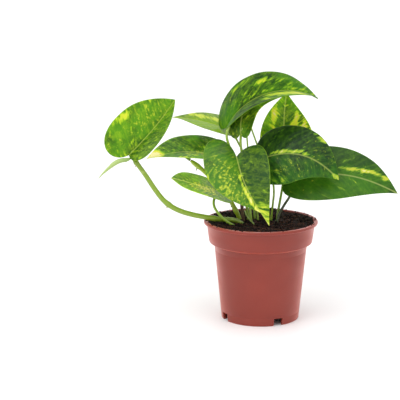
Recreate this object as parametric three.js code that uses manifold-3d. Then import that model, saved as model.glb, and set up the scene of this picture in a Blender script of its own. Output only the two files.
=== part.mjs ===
// Potted pothos: a trailing, variegated house plant in a 12 cm moulded plastic nursery pot.
// Units are millimetres and +Z is up. The front of the plant looks along -Y. The origin is under
// the middle of the whole plant, leaves included, on the surface that the pot stands on.
import * as THREE from "three";
import { mergeVertices } from "three/addons/utils/BufferGeometryUtils.js";
import Module from "manifold-3d";

const wasm = await Module();
wasm.setup();

// The pot's axis. It stands right of the middle, because most of the foliage leans to the left.
const POT_X = 13;
const POT_Y = -6;

// Pot: a thin-walled injection moulding with a rolled lip, a rim band and a slotted foot ring.
const POT_HEIGHT = 105;
const LIP_RADIUS = 60;
const LIP_HEIGHT = 3;
const BAND_TOP_RADIUS = 57;
const BAND_FOOT_RADIUS = 54.5;
const BAND_HEIGHT = 22;
const STEP_HEIGHT = 3;
const NECK_RADIUS = 49;
const FOOT_RADIUS = 41;
const FOOT_HEIGHT = 8.5;
const WALL = 1.4;
const FLOOR = 1.6;
const FOOT_SLOTS = 4;
const FOOT_SLOT_WIDTH = 10;
const FOOT_SLOT_TURN = 25;
const DRAIN_HOLES = 8;
const DRAIN_HOLE_RADIUS = 4;
const DRAIN_CIRCLE_RADIUS = 26;
const POT_SIDES = 48;

// Soil: fills the pot to just under the lip, a little higher in the middle.
const SOIL_DROP = 3;
const SOIL_CROWN = 1.5;
const SOIL_GAP = 0.5;
const ROOT_DEPTH = 12;

// Foliage.
const GAP = 0.3;
const BLADE_THICKNESS = 0.8;
const BLADE_ROWS = 14;
const BLADE_COLUMNS = 3;
const FAN_SHARE = 0.22;
const STEM_SIDES = 7;
const STEM_STEP = 7;
const PETIOLE_RADIUS = 1.4;
const THIN_PETIOLE_RADIUS = 1.1;
const VINE_RADIUS = 2.7;
const OLD_STEM_RADIUS = 1.8;
const AIR_ROOT_RADIUS = 0.9;
const YOUNG_LEAF_RADIUS = 2.4;

// Worked out from the sizes above.
const SOIL_LEVEL = POT_HEIGHT - SOIL_DROP;
const FLOOR_TOP = FOOT_HEIGHT + FLOOR;
const BAND_FOOT = POT_HEIGHT - BAND_HEIGHT;
const NECK = BAND_FOOT - STEP_HEIGHT;
const DEGREE = Math.PI / 180;

// Everything is placed from the pot's axis, in a group that stands where that axis is.
const plant = new THREE.Group();
const potted = new THREE.Group();
potted.position.set(POT_X, POT_Y, 0);
plant.add(potted);

function addPiece(name, geometry, colour, roughness) {
  const material = new THREE.MeshStandardMaterial({ color: colour, roughness, metalness: 0 });
  const mesh = new THREE.Mesh(geometry, material);
  mesh.name = name;
  potted.add(mesh);
}

// A closed three.js geometry as a solid that can be cut.
function solidFrom(geometry) {
  const bare = geometry.clone();
  bare.deleteAttribute("normal");
  bare.deleteAttribute("uv");
  const merged = mergeVertices(bare, 1e-4);
  return new wasm.Manifold(
    new wasm.Mesh({
      numProp: 3,
      vertProperties: new Float32Array(merged.attributes.position.array),
      triVerts: new Uint32Array(merged.index.array),
    }),
  );
}

function geometryFrom(solid) {
  const mesh = solid.getMesh();
  const geometry = new THREE.BufferGeometry();
  geometry.setAttribute("position", new THREE.BufferAttribute(mesh.vertProperties, 3));
  geometry.setIndex(new THREE.BufferAttribute(mesh.triVerts, 1));
  geometry.computeVertexNormals();
  return geometry;
}

// A profile of [radius, height] pairs turned about the pot's axis.
function turned(profile) {
  const points = profile.map(([radius, height]) => new THREE.Vector2(radius, height));
  return new THREE.LatheGeometry(points, POT_SIDES).rotateX(Math.PI / 2);
}

// ---- Pot ----

// The body tapers straight from the foot to the neck.
function bodyRadius(height) {
  return FOOT_RADIUS + ((NECK_RADIUS - FOOT_RADIUS) * height) / NECK;
}

// Inner face of the wall, from the floor to the lip, pulled in by a clearance.
function innerWall(clearance) {
  const inset = WALL + clearance;
  return [
    [bodyRadius(FLOOR_TOP) - inset, FLOOR_TOP + clearance],
    [NECK_RADIUS - inset, NECK],
    [BAND_FOOT_RADIUS - inset, BAND_FOOT],
    [BAND_TOP_RADIUS - inset, POT_HEIGHT - LIP_HEIGHT],
  ];
}

function makePot() {
  const outside = [
    [0, FOOT_HEIGHT],
    [bodyRadius(FOOT_HEIGHT) - 2 * WALL, FOOT_HEIGHT],
    [FOOT_RADIUS - 2 * WALL, 0],
    [FOOT_RADIUS, 0],
    [bodyRadius(FOOT_HEIGHT), FOOT_HEIGHT],
    [NECK_RADIUS, NECK],
    [BAND_FOOT_RADIUS - 1, BAND_FOOT - 1],
    [BAND_FOOT_RADIUS, BAND_FOOT],
    [BAND_TOP_RADIUS, POT_HEIGHT - LIP_HEIGHT],
    [LIP_RADIUS, POT_HEIGHT - LIP_HEIGHT],
    [LIP_RADIUS, POT_HEIGHT - 0.6],
    [LIP_RADIUS - 0.6, POT_HEIGHT],
    [BAND_TOP_RADIUS - WALL, POT_HEIGHT],
  ];
  const inside = innerWall(0).reverse();
  let pot = solidFrom(turned([...outside, ...inside, [0, FLOOR_TOP]]));

  for (let i = 0; i < FOOT_SLOTS; i += 1) {
    const turn = FOOT_SLOT_TURN * DEGREE - Math.PI / 2 + (i * 2 * Math.PI) / FOOT_SLOTS;
    const slot = new THREE.BoxGeometry(6 * WALL, FOOT_SLOT_WIDTH, 2 * FOOT_HEIGHT);
    slot.translate(FOOT_RADIUS - WALL, 0, -0.5);
    slot.rotateZ(turn);
    pot = pot.subtract(solidFrom(slot));
  }
  for (let i = 0; i < DRAIN_HOLES; i += 1) {
    const turn = (i * 2 * Math.PI) / DRAIN_HOLES;
    const hole = new THREE.CylinderGeometry(DRAIN_HOLE_RADIUS, DRAIN_HOLE_RADIUS, 6 * FLOOR, 12);
    hole.rotateX(Math.PI / 2);
    hole.translate(DRAIN_CIRCLE_RADIUS, 0, FOOT_HEIGHT);
    hole.rotateZ(turn);
    pot = pot.subtract(solidFrom(hole));
  }
  return geometryFrom(pot);
}

// ---- Leaf blades ----

// Half outline of a heart-shaped blade of length 1 and half width 1. t runs along the margin from
// the notch (0) to the tip (1). lobe is how far the lobe reaches behind the stalk, and fullness
// how broad the blade stays towards its tip.
function outline(t, lobe, fullness) {
  const lobeCurve = new THREE.CubicBezierCurve(
    new THREE.Vector2(0, 0),
    new THREE.Vector2(-1.15 * lobe, 0.15),
    new THREE.Vector2(-1.05 * lobe, 0.98),
    new THREE.Vector2(0.2, 1),
  );
  const tipCurve = new THREE.CubicBezierCurve(
    new THREE.Vector2(0.2, 1),
    new THREE.Vector2(0.6, 1),
    new THREE.Vector2(0.8, fullness),
    new THREE.Vector2(1, 0),
  );
  return t < 0.5 ? lobeCurve.getPoint(2 * t) : tipCurve.getPoint(2 * t - 1);
}

// A point on the blade's middle surface. t follows the margin from notch to tip, s runs from the
// midrib (0) to the margin (1), and side is 1 on the left half and -1 on the right, seen from
// above with the tip ahead. The midrib is an arc from base to tip.
function bladePoint(leaf, t, s, side) {
  const base = new THREE.Vector3(...leaf.base);
  const ahead = new THREE.Vector3(...leaf.tip).sub(base);
  const chord = ahead.length();
  ahead.normalize();
  const up = new THREE.Vector3(0, 0, 1).addScaledVector(ahead, -ahead.z).normalize();
  up.applyAxisAngle(ahead, leaf.roll * DEGREE);
  const left = new THREE.Vector3().crossVectors(up, ahead);

  const half = side > 0 ? leaf.left : leaf.right;
  const arch = leaf.arch * DEGREE;
  const bow = leaf.bow * DEGREE;
  const length = (chord * arch) / 2 / Math.sin(arch / 2);
  const edge = outline(t, half.lobe, half.fullness);
  const onRib = Math.pow(Math.max(0, (t - FAN_SHARE) / (1 - FAN_SHARE)), 2);
  const along = onRib + (edge.x - onRib) * s;
  const across = edge.y * s * half.width;

  const lean = arch / 2 - arch * along;
  const inside = THREE.MathUtils.clamp(along, 0, 1);
  const sideways = along < 0 ? bow * along : (Math.sin(Math.PI * inside) * bow) / Math.PI;
  const point = base
    .addScaledVector(ahead, ((Math.sin(arch / 2) - Math.sin(lean)) * length) / arch)
    .addScaledVector(up, ((Math.cos(lean) - Math.cos(arch / 2)) * length) / arch)
    .addScaledVector(left, sideways * length);

  const forward = ahead.clone().multiplyScalar(Math.cos(lean)).addScaledVector(up, Math.sin(lean));
  const normal = up.clone().multiplyScalar(Math.cos(lean)).addScaledVector(ahead, -Math.sin(lean));
  const outward = left.clone().applyAxisAngle(normal, bow * Math.cos(Math.PI * inside));
  normal.crossVectors(forward.applyAxisAngle(normal, bow * Math.cos(Math.PI * inside)), outward);

  const fold = half.fold * DEGREE;
  const bend = (half.curl * DEGREE) / half.width;
  const turnAt = fold - bend * across;
  const reach = (Math.sin(fold) - Math.sin(turnAt)) / bend;
  const rise = (Math.cos(turnAt) - Math.cos(fold)) / bend;
  const wave = half.ripple * Math.pow(across / half.width, 2) * Math.sin(2 * Math.PI * half.waves * t);
  return point.addScaledVector(outward, side * reach).addScaledVector(normal, rise + wave);
}

// The blade as a thin closed shell: its middle surface, moved half a thickness to each side.
function makeBlade(leaf) {
  const points = [];
  const faces = [];
  const found = new Map();
  const indexOf = (point) => {
    const key = [point.x, point.y, point.z].map((value) => value.toFixed(3)).join();
    if (!found.has(key)) {
      found.set(key, points.length);
      points.push(point);
    }
    return found.get(key);
  };
  const addFace = (a, b, c, side) => {
    if (a !== b && b !== c && c !== a) faces.push(side > 0 ? [a, b, c] : [a, c, b]);
  };
  const rim = { 1: [], "-1": [] };
  for (const side of [1, -1]) {
    const rows = [];
    for (let i = 0; i <= BLADE_ROWS; i += 1) {
      const row = [];
      for (let j = 0; j <= BLADE_COLUMNS; j += 1) {
        row.push(indexOf(bladePoint(leaf, i / BLADE_ROWS, j / BLADE_COLUMNS, side)));
      }
      rows.push(row);
      rim[side].push(row[BLADE_COLUMNS]);
    }
    for (let i = 0; i < BLADE_ROWS; i += 1) {
      for (let j = 0; j < BLADE_COLUMNS; j += 1) {
        addFace(rows[i][j], rows[i + 1][j], rows[i + 1][j + 1], side);
        addFace(rows[i][j], rows[i + 1][j + 1], rows[i][j + 1], side);
      }
    }
  }

  const middle = new THREE.BufferGeometry().setFromPoints(points);
  middle.setIndex(faces.flat());
  middle.computeVertexNormals();
  const normals = middle.getAttribute("normal");
  const shell = [];
  for (const offset of [0.5 * BLADE_THICKNESS, -0.5 * BLADE_THICKNESS]) {
    points.forEach((point, i) => {
      const normal = new THREE.Vector3().fromBufferAttribute(normals, i);
      shell.push(point.clone().addScaledVector(normal, offset));
    });
  }
  const under = points.length;
  const index = [];
  for (const [a, b, c] of faces) index.push(a, b, c, under + a, under + c, under + b);
  for (const side of [1, -1]) {
    for (let i = 0; i < BLADE_ROWS; i += 1) {
      const [a, b] = side > 0 ? [rim[1][i], rim[1][i + 1]] : [rim[-1][i + 1], rim[-1][i]];
      if (a !== b) index.push(a, b, under + b, a, under + b, under + a);
    }
  }
  const geometry = new THREE.BufferGeometry().setFromPoints(shell);
  geometry.setIndex(index);
  geometry.computeVertexNormals();
  return geometry;
}

function half(width, fold, curl, lobe, fullness, ripple = 0, waves = 1.5) {
  return { width, fold, curl, lobe, fullness, ripple, waves };
}

// Base and tip are measured from the middle of the soil's surface. Arch is the turn of the midrib
// from base to tip, bow its sideways turn, and roll the tilt of the whole blade, in degrees. Each
// half has its width, its fold at the midrib, its curl towards the margin, lobe and fullness.
const LEAVES = {
  leaf_far_left: {
    base: [-137, -12, 75], tip: [-90, 12, 129], arch: 20, bow: -6, roll: 58,
    left: half(37, 22, 20, 0.24, 0.7, 1.5, 2), right: half(19, 42, 10, 0.05, 0.5, 1.5),
    colour: 0x4d9422,
  },
  leaf_upper_left: {
    base: [-30, 44, 91], tip: [-94, 66, 102], arch: 20, bow: 0, roll: -12,
    left: half(25, 19, 20, 0.2, 0.3), right: half(25, 14, 20, 0.2, 0.3),
    colour: 0x8fbf55,
  },
  leaf_top: {
    base: [-35, 16, 101], tip: [60, 22, 128], arch: 106, bow: 6, roll: 34,
    left: half(41.5, 2, 13, 0.16, 0.62, 1.5), right: half(32, 32, 4, 0, 0.95),
    colour: 0x4f8f22,
  },
  leaf_centre: {
    base: [-22, 6, 96], tip: [29, 20, 133], arch: 87, bow: 40, roll: 24,
    left: half(24, -2, 4, 0.09, 0.33), right: half(15, -29, 4, 0.13, 0.9),
    colour: 0x3d7a20,
  },
  leaf_upper_right: {
    base: [28, 38, 66], tip: [28, 42, 133], arch: 21, bow: 7, roll: 1,
    left: half(27, 13, 12, 0.11, 0.35), right: half(31, 7, 8, 0.14, 0.32),
    colour: 0x56962a,
  },
  leaf_right: {
    base: [2, -3, 70], tip: [79, -26, 51], arch: 55, bow: 24, roll: 60,
    left: half(34, 0, 10, 0.14, 0.4, 1.5), right: half(33, 0, 10, 0.18, 0.35, 1.5),
    colour: 0x2f6420,
  },
  leaf_front: {
    base: [-26, -8, 72], tip: [6, -62, 11], arch: 32, bow: -18, roll: 5,
    left: half(33, 50, 9, 0.05, 0.34), right: half(36, -4, 20, 0.55, -0.4),
    colour: 0x4a8a2c,
  },
  leaf_small_left: {
    base: [-44, 7, 32], tip: [-94, -16, 51], arch: 22, bow: 12, roll: -26,
    left: half(24, 10, 4, 0.22, 1), right: half(24, 2, 12, 0.1, 1),
    colour: 0x4c8a30,
  },
  leaf_left: {
    base: [-50, 36, 67.5], tip: [-121, 29, 63], arch: 22, bow: -6, roll: -32,
    left: half(28.5, 36, 16, 0.16, 0.25), right: half(28, 6, 9, 0.24, 0.45, 1.5),
    colour: 0x3f7a22,
  },
  leaf_far_right: {
    base: [38, 6, 49], tip: [143, -4, 32], arch: 38, bow: 12, roll: 60,
    left: half(32, 5, 10, 0.1, 0.5, 1.5), right: half(29, 5, 10, 0.2, 0.3, 1.5),
    colour: 0x467f2a,
  },
};

// ---- Vines and petioles ----

// Routes are measured from the middle of the soil's surface, like the leaves. A rooted stem starts
// ROOT_DEPTH under the surface, and a stem with a leaf goes on from its route to that leaf's notch.
const STEMS = {
  vine_left: {
    route: [
      [-13, 4, -ROOT_DEPTH], [-19, 1, -2], [-27, -3, 3], [-35, -7, 5], [-44, -10, 6],
      [-59, -13, 9], [-72, -15, 12], [-83, -16, 15.5], [-93, -17, 20.5], [-102, -16, 27.5],
      [-111, -15, 39], [-121, -13, 54], [-130, -11, 66],
    ],
    radius: VINE_RADIUS, colour: 0x8aad3a,
  },
  vine_middle: {
    route: [
      [-20, 17, -ROOT_DEPTH], [-22, 17, 0], [-28, 18, 13], [-34, 21, 23], [-46, 25, 36.5],
      [-60, 28, 50], [-74, 30, 61],
    ],
    radius: 0.9 * VINE_RADIUS, colour: 0x86a832,
  },
  old_stem: {
    route: [[-17, 10, -ROOT_DEPTH], [-18, 9, 0], [-19.5, 8, 12], [-20, 8, 25]],
    radius: OLD_STEM_RADIUS, colour: 0x5a4028,
  },
  petiole_far_left: {
    route: [[-130.6, -10.9, 66.8], [-133.5, -10, 70]],
    leaf: "leaf_far_left", radius: THIN_PETIOLE_RADIUS, colour: 0x7f9f3a,
  },
  petiole_left: {
    route: [[-75, 30.4, 61.9], [-79, 35.5, 63.8], [-75, 39.5, 66], [-61, 40, 65.5]],
    leaf: "leaf_left", radius: PETIOLE_RADIUS, colour: 0x7f9f3a,
  },
  petiole_small_left: {
    route: [
      [-24, -10, -ROOT_DEPTH], [-28, -14, -1], [-36, -15, 4.5], [-44, -14, 12], [-49, -10, 19],
      [-49.5, -3, 25],
    ],
    leaf: "leaf_small_left", radius: PETIOLE_RADIUS, colour: 0x7f9f3a,
  },
  petiole_front: {
    route: [[-20.1, 8.1, 25.6], [-21, 9.5, 39], [-24, 9, 55]],
    leaf: "leaf_front", radius: PETIOLE_RADIUS, colour: 0x6f8f34,
  },
  petiole_top: {
    route: [
      [-11, 14, -ROOT_DEPTH], [-13, 17, 4], [-18, 19, 31], [-27, 19, 58], [-33, 18, 78],
      [-36, 16.5, 90],
    ],
    leaf: "leaf_top", radius: PETIOLE_RADIUS, colour: 0x86a832,
  },
  petiole_centre: {
    route: [[-9, 8, -ROOT_DEPTH], [-10.5, 9, 6], [-14, 15, 37], [-19, 16, 64], [-21.5, 11, 86]],
    leaf: "leaf_centre", radius: PETIOLE_RADIUS, colour: 0x86a832,
  },
  petiole_upper_left: {
    route: [[-5, 21, -ROOT_DEPTH], [-6, 23, 6], [-9, 33, 34], [-15, 39, 61], [-23, 42.5, 78]],
    leaf: "leaf_upper_left", radius: THIN_PETIOLE_RADIUS, colour: 0xa0c050,
  },
  petiole_upper_right: {
    route: [[17, 11, -ROOT_DEPTH], [18, 12, 4], [21, 15, 21], [24, 26, 34], [26.5, 35, 49]],
    leaf: "leaf_upper_right", radius: PETIOLE_RADIUS, colour: 0x86982a,
  },
  petiole_right: {
    route: [
      [11, 12, -ROOT_DEPTH], [12, 12, 7], [13, 11, 17], [14, 10, 31], [12, 8, 46], [6, 4, 60],
    ],
    leaf: "leaf_right", radius: THIN_PETIOLE_RADIUS, colour: 0x9aa860,
  },
  petiole_far_right: {
    route: [
      [17, 4, -ROOT_DEPTH], [18, 5, 2], [20, 7, 8], [25, 9, 17], [30, 9, 25], [34, 9, 34],
    ],
    leaf: "leaf_far_right", radius: PETIOLE_RADIUS, colour: 0x5f7f2c,
  },
  young_shoot: {
    route: [[-2, 14, -ROOT_DEPTH], [-3, 16, 6], [-9, 17, 42], [-13, 16, 70], [-15, 14, 92]],
    radius: THIN_PETIOLE_RADIUS, colour: 0x9ab84a,
  },
  side_shoot: {
    route: [
      [6, 17, -ROOT_DEPTH], [7, 18, 6], [6, 19, 48], [-1, 21, 72], [-6, 22, 86], [-11, 22, 100],
    ],
    radius: THIN_PETIOLE_RADIUS, colour: 0xa0c050,
  },
  air_root: {
    route: [
      [-6, -10, -ROOT_DEPTH], [-8, -10, 1], [-12, -9.5, 5], [-15.5, -8, 10], [-17, -4, 14],
    ],
    radius: AIR_ROOT_RADIUS, colour: 0x6f7f34,
  },
};

// A round stem of one radius along a smooth curve, closed at both ends.
function makeStem(route, radius) {
  const curve = new THREE.CatmullRomCurve3(route.map((at) => new THREE.Vector3(...at)));
  const steps = Math.max(4, Math.round(curve.getLength() / STEM_STEP));
  const section = new THREE.Shape();
  for (let i = 0; i < STEM_SIDES; i += 1) {
    const turn = (2 * Math.PI * i) / STEM_SIDES;
    const corner = new THREE.Vector2(radius * Math.cos(turn), radius * Math.sin(turn));
    if (i === 0) section.moveTo(corner.x, corner.y);
    else section.lineTo(corner.x, corner.y);
  }
  section.closePath();
  return new THREE.ExtrudeGeometry(section, { steps, bevelEnabled: false, extrudePath: curve });
}

// The stalk ends just under its blade, at the notch between the lobes.
function stalkEnd(leaf, radius) {
  const base = new THREE.Vector3(...leaf.base);
  const ahead = new THREE.Vector3(...leaf.tip).sub(base).normalize();
  const up = new THREE.Vector3(0, 0, 1).addScaledVector(ahead, -ahead.z).normalize();
  up.applyAxisAngle(ahead, leaf.roll * DEGREE);
  const lean = (leaf.arch / 2) * DEGREE;
  const normal = up.multiplyScalar(Math.cos(lean)).addScaledVector(ahead, -Math.sin(lean));
  return base.addScaledVector(normal, -(0.5 * BLADE_THICKNESS + GAP + 1.1 * radius)).toArray();
}

// The newest leaf is still rolled up in its sheath: a spindle that bends away from the vine's end.
const YOUNG_LEAF_ROUTE = [
  [-140, -13, 70], [-149, -15, 68], [-157, -17, 63], [-164, -20, 57], [-169, -23, 52],
];

function makeRolledLeaf() {
  const curve = new THREE.CatmullRomCurve3(
    YOUNG_LEAF_ROUTE.map((at) => new THREE.Vector3(...at)),
  );
  const geometry = makeStem(YOUNG_LEAF_ROUTE, YOUNG_LEAF_RADIUS);
  const position = geometry.getAttribute("position");
  const samples = curve.getSpacedPoints(60);
  const point = new THREE.Vector3();
  for (let i = 0; i < position.count; i += 1) {
    point.fromBufferAttribute(position, i);
    let nearest = 0;
    samples.forEach((sample, k) => {
      if (sample.distanceTo(point) < samples[nearest].distanceTo(point)) nearest = k;
    });
    const share = nearest / (samples.length - 1);
    const swell = 0.12 + 0.88 * Math.sin(Math.PI * Math.pow(share, 0.6));
    point.sub(samples[nearest]).multiplyScalar(swell).add(samples[nearest]);
    position.setXYZ(i, point.x, point.y, point.z);
  }
  geometry.computeVertexNormals();
  return geometry;
}

// ---- Soil ----

// Potting soil up to just under the lip, with a hole round each rooted stem.
function makeSoil(rootedStems) {
  const wall = innerWall(SOIL_GAP).filter(([, height]) => height < SOIL_LEVEL - SOIL_CROWN);
  const [[lowRadius, lowHeight]] = wall;
  const slope = (BAND_TOP_RADIUS - BAND_FOOT_RADIUS) / (POT_HEIGHT - LIP_HEIGHT - BAND_FOOT);
  const topRadius = BAND_FOOT_RADIUS - WALL - SOIL_GAP + slope * (SOIL_LEVEL - SOIL_CROWN - BAND_FOOT);
  const crown = [
    [topRadius, SOIL_LEVEL - SOIL_CROWN],
    [0.7 * topRadius, SOIL_LEVEL - 0.3 * SOIL_CROWN],
    [0, SOIL_LEVEL],
  ];
  let soil = solidFrom(turned([[0, lowHeight], [lowRadius, lowHeight], ...wall.slice(1), ...crown]));
  const roomy = 1 / Math.cos(Math.PI / STEM_SIDES);
  for (const { route, radius } of rootedStems) {
    const [[x, y, depth], ...rest] = route;
    const hole = makeStem([[x, y, depth - GAP], ...rest], (radius + GAP) * roomy);
    soil = soil.subtract(solidFrom(hole.translate(0, 0, SOIL_LEVEL)));
  }
  return geometryFrom(soil);
}

// ---- Assembly ----

addPiece("pot", makePot(), 0xa85a48, 0.35);

const rootedStems = Object.values(STEMS).filter(({ route }) => route[0][2] === -ROOT_DEPTH);
addPiece("soil", makeSoil(rootedStems), 0x2b211b, 0.95);

for (const [name, stem] of Object.entries(STEMS)) {
  const route = [...stem.route];
  if (stem.leaf) route.push(stalkEnd(LEAVES[stem.leaf], stem.radius));
  const geometry = makeStem(route, stem.radius).translate(0, 0, SOIL_LEVEL);
  addPiece(name, geometry, stem.colour, 0.5);
}

for (const [name, leaf] of Object.entries(LEAVES)) {
  addPiece(name, makeBlade(leaf).translate(0, 0, SOIL_LEVEL), leaf.colour, 0.4);
}

addPiece("young_leaf", makeRolledLeaf().translate(0, 0, SOIL_LEVEL), 0x9fb878, 0.5);

export default plant;
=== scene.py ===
"""A young variegated pothos in a terracotta-coloured plastic nursery pot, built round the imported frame."""
import math

import bpy
import numpy as np
from mathutils import Matrix, Vector, noise


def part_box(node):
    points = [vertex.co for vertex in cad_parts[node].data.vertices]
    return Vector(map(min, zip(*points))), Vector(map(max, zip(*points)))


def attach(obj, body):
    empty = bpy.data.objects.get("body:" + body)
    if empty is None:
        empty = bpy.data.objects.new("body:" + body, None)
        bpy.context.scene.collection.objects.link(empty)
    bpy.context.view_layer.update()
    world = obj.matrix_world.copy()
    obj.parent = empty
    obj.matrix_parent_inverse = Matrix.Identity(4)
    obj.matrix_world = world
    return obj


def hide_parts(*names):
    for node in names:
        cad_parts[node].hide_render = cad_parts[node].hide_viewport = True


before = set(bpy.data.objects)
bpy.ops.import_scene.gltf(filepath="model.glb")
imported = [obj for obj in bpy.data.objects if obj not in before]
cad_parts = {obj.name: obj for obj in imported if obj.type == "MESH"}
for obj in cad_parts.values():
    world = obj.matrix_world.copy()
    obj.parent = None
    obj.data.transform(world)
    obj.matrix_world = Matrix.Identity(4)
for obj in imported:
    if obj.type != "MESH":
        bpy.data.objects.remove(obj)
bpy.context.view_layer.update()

# ---- Pot ----
# A thin injection moulding in terracotta-coloured polypropylene: a rolled lip, a rim band with a
# sloping step under it, a tapered body, a raised floor with drain holes, and a slotted foot ring.
MM = 0.001
pot_low, pot_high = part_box("pot")
POT_X = (pot_low.x + pot_high.x) / 2
POT_Y = (pot_low.y + pot_high.y) / 2
UNDERSIDE = 8.5
FLOOR_TOP = 10.1
HUB_RADIUS = 18.0
POT_PROFILE = [
    (39.1, UNDERSIDE), (38.3, 0.5), (38.7, 0.0), (40.5, 0.0), (41.0, 0.5), (41.8, 7.7),
    (41.7, 8.1), (41.9, UNDERSIDE), (43.4, 24.0), (45.2, 42.0), (46.9, 59.0), (48.4, 73.6), (48.3, 74.0),
    (48.5, 74.4), (48.9, 79.0), (49.3, 80.0), (53.2, 81.8), (54.1, 82.4), (54.5, 83.3),
    (55.7, 92.0), (56.9, 101.2), (57.3, 101.8), (59.3, 102.0), (59.85, 102.4), (60.0, 103.0),
    (59.95, 104.2), (59.5, 104.8), (58.8, 105.0), (56.5, 105.0), (55.9, 104.7), (55.6, 104.0),
    (55.5, 101.0), (53.1, 83.0), (47.6, 79.5), (43.9, 45.0), (40.7, 10.9), (40.0, FLOOR_TOP),
    (HUB_RADIUS, FLOOR_TOP),
]
SLOT_TURNS = (-65, 25, 115, 205)
SLOT_CUT = (8.4, 10, 16)
SLOT_CIRCLE = 39.6
DRAIN_HOLES = 8
DRAIN_RADIUS = 4
DRAIN_CIRCLE = 26
DRAIN_CUT = 8
DRAIN_CUT_MIDDLE = 9.3
RING_POINTS = 144


def paint(code):
    """An sRGB colour code as the linear colour that shaders take."""
    parts = [int(code[i:i + 2], 16) / 255 for i in (1, 3, 5)]
    return [c / 12.92 if c <= 0.04045 else ((c + 0.055) / 1.055) ** 2.4 for c in parts] + [1.0]


def only(piece):
    """Makes one object the only selected and active one, in object mode."""
    if bpy.context.object and bpy.context.object.mode != "OBJECT":
        bpy.ops.object.mode_set(mode="OBJECT")
    bpy.ops.object.select_all(action="DESELECT")
    piece.select_set(True)
    bpy.context.view_layer.objects.active = piece


def settle(piece):
    """Moves an object's place into its mesh."""
    only(piece)
    bpy.ops.object.transform_apply(location=True, rotation=True, scale=True)


def apply_modifier(piece, kind, **values):
    modifier = piece.modifiers.new(kind.title(), kind)
    for key, value in values.items():
        setattr(modifier, key, value)
    only(piece)
    bpy.ops.object.modifier_apply(modifier=modifier.name)


def belongs(piece, slot, *nodes):
    """The piece stands for CAD nodes of the plant, which it hides, and hangs from the root body; slot is not
    used.
    """
    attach(piece, "root")
    if nodes:
        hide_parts(*nodes)


def turned_ring(piece, profile, radius, height):
    """Carries the selected cap from one ring of a profile (mm) to the next, leaving a wall."""
    for next_radius, next_height in profile:
        bpy.ops.mesh.extrude_region_move(
            TRANSFORM_OT_translate={"value": (0, 0, (next_height - height) * MM)})
        share = next_radius / radius
        bpy.ops.transform.resize(
            value=(share, share, 1), center_override=(POT_X, POT_Y, next_height * MM))
        radius, height = next_radius, next_height


bpy.ops.object.select_all(action="DESELECT")
bpy.ops.mesh.primitive_circle_add(
    vertices=RING_POINTS, radius=HUB_RADIUS * MM, fill_type="NGON",
    location=(POT_X, POT_Y, UNDERSIDE * MM))
pot = bpy.context.object
pot.name = "pot_moulding"
settle(pot)
bpy.ops.object.mode_set(mode="EDIT")
bpy.ops.mesh.select_all(action="SELECT")
turned_ring(pot, POT_PROFILE, HUB_RADIUS, UNDERSIDE)
bpy.ops.mesh.select_all(action="SELECT")
bpy.ops.mesh.normals_make_consistent(inside=False)
bpy.ops.object.mode_set(mode="OBJECT")


def cut_out(piece, cutter):
    """Takes a cutter's solid out of a piece and removes the cutter."""
    settle(cutter)
    apply_modifier(piece, "BOOLEAN", operation="DIFFERENCE", object=cutter, solver="EXACT")
    bpy.data.objects.remove(cutter)


for degrees in SLOT_TURNS:
    turn = math.radians(degrees)
    bpy.ops.mesh.primitive_cube_add(
        size=1, scale=[side * MM for side in SLOT_CUT], rotation=(0, 0, turn),
        location=(POT_X + SLOT_CIRCLE * MM * math.cos(turn), POT_Y + SLOT_CIRCLE * MM * math.sin(turn), 0))
    cut_out(pot, bpy.context.object)
for k in range(DRAIN_HOLES):
    turn = 2 * math.pi * k / DRAIN_HOLES
    bpy.ops.mesh.primitive_cylinder_add(
        vertices=32, radius=DRAIN_RADIUS * MM, depth=DRAIN_CUT * MM,
        location=(POT_X + DRAIN_CIRCLE * MM * math.cos(turn), POT_Y + DRAIN_CIRCLE * MM * math.sin(turn),
                  DRAIN_CUT_MIDDLE * MM))
    cut_out(pot, bpy.context.object)
only(pot)
bpy.ops.object.shade_smooth_by_angle(angle=math.radians(32))


def new_finish(name):
    """A new material, its node tree and its Principled BSDF."""
    material = bpy.data.materials.new(name)
    material.use_nodes = True
    return material, material.node_tree, material.node_tree.nodes["Principled BSDF"]


def add(tree, kind, inputs=None, **values):
    """A node with its settings; inputs maps a socket to a value or to another node's output."""
    made = tree.nodes.new(kind)
    for key, value in values.items():
        setattr(made, key, value)
    for socket, value in (inputs or {}).items():
        if isinstance(value, bpy.types.NodeSocket):
            tree.links.new(value, made.inputs[socket])
        else:
            made.inputs[socket].default_value = value
    return made


def blend_colours(tree, share, first, second, mode="MIX"):
    mix = add(tree, "ShaderNodeMix", data_type="RGBA", blend_type=mode)
    for socket, value in ((mix.inputs[0], share), (mix.inputs[6], first), (mix.inputs[7], second)):
        if isinstance(value, bpy.types.NodeSocket):
            tree.links.new(value, socket)
        else:
            socket.default_value = value
    return mix.outputs[2]


def ease(tree, value, low, high, to_low=0.0, to_high=1.0):
    """A soft step from to_low to to_high where the value goes from low to high."""
    return add(tree, "ShaderNodeMapRange", interpolation_type="SMOOTHSTEP", inputs={
        0: value, 1: low, 2: high, 3: to_low, 4: to_high}).outputs[0]


def math_node(tree, operation, first, second=0.0):
    return add(tree, "ShaderNodeMath", operation=operation, inputs={0: first, 1: second}).outputs[0]


def grain(tree, where, scale, detail=3.0, roughness=0.6, distortion=0.0):
    return add(tree, "ShaderNodeTexNoise", inputs={
        "Vector": where, "Scale": scale, "Detail": detail, "Roughness": roughness,
        "Distortion": distortion}).outputs[0]


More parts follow.
